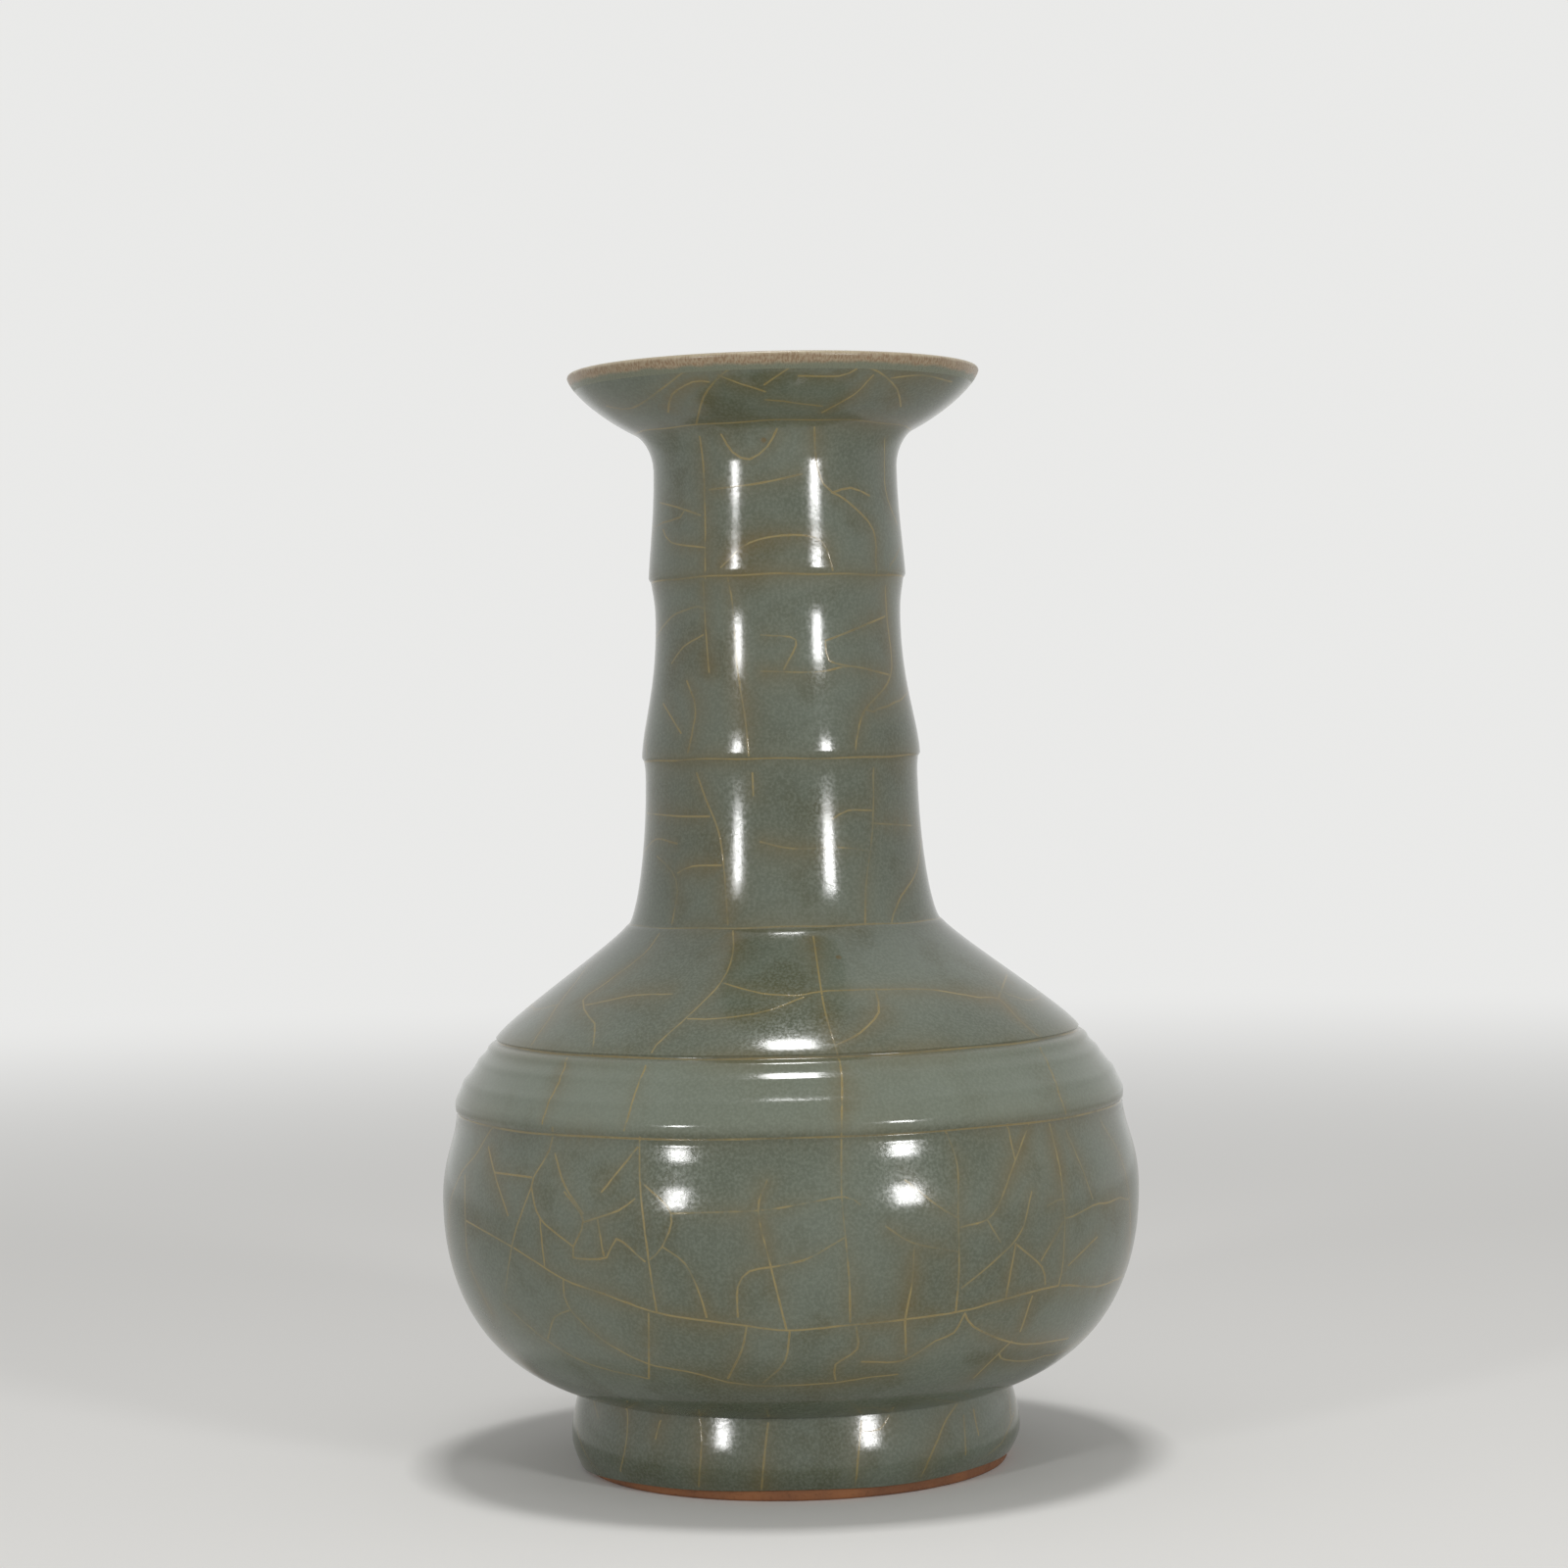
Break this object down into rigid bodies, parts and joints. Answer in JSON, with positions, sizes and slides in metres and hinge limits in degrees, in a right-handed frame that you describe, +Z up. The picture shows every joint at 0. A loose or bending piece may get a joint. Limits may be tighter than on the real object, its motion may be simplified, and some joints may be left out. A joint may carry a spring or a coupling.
{
  "type": "dish-mouth vase",
  "caption": "Tall celadon-glazed stoneware vase with a flared dish mouth, ringed neck, round belly with a stepped shoulder band, and a foot ring.",
  "frame": {"origin": "centre of the flat face that the foot ring rests on", "axes": "+Z up along the vase's axis of turning, +Y away from the viewer of the picture"},
  "size_m": [0.169, 0.169, 0.2652],
  "materials": {
    "celadon_glaze": "thick glossy grey-green glaze with fine bubbles and ochre crackle",
    "lip_glaze": "thin cream to brown glaze with fine vertical speckle",
    "bare_foot_clay": "bare fired clay, orange-brown, matt",
    "stoneware": "grey-brown fired stoneware, matt",
    "luting_slip": "fine fired slip, matt"
  },
  "bodies": {
    "root": {"foot_ring": "bare_foot_clay", "foot_luting": "luting_slip", "lower_body": "stoneware", "band_luting": "luting_slip", "shoulder": "stoneware", "neck_luting": "luting_slip", "neck": "stoneware", "mouth_luting": "luting_slip", "dish_mouth": "stoneware", "foot_well_glaze": "celadon_glaze", "inner_glaze": "celadon_glaze", "body_glaze": "celadon_glaze", "neck_glaze": "celadon_glaze", "lip_glaze": "lip_glaze"}
  },
  "joints": []
}
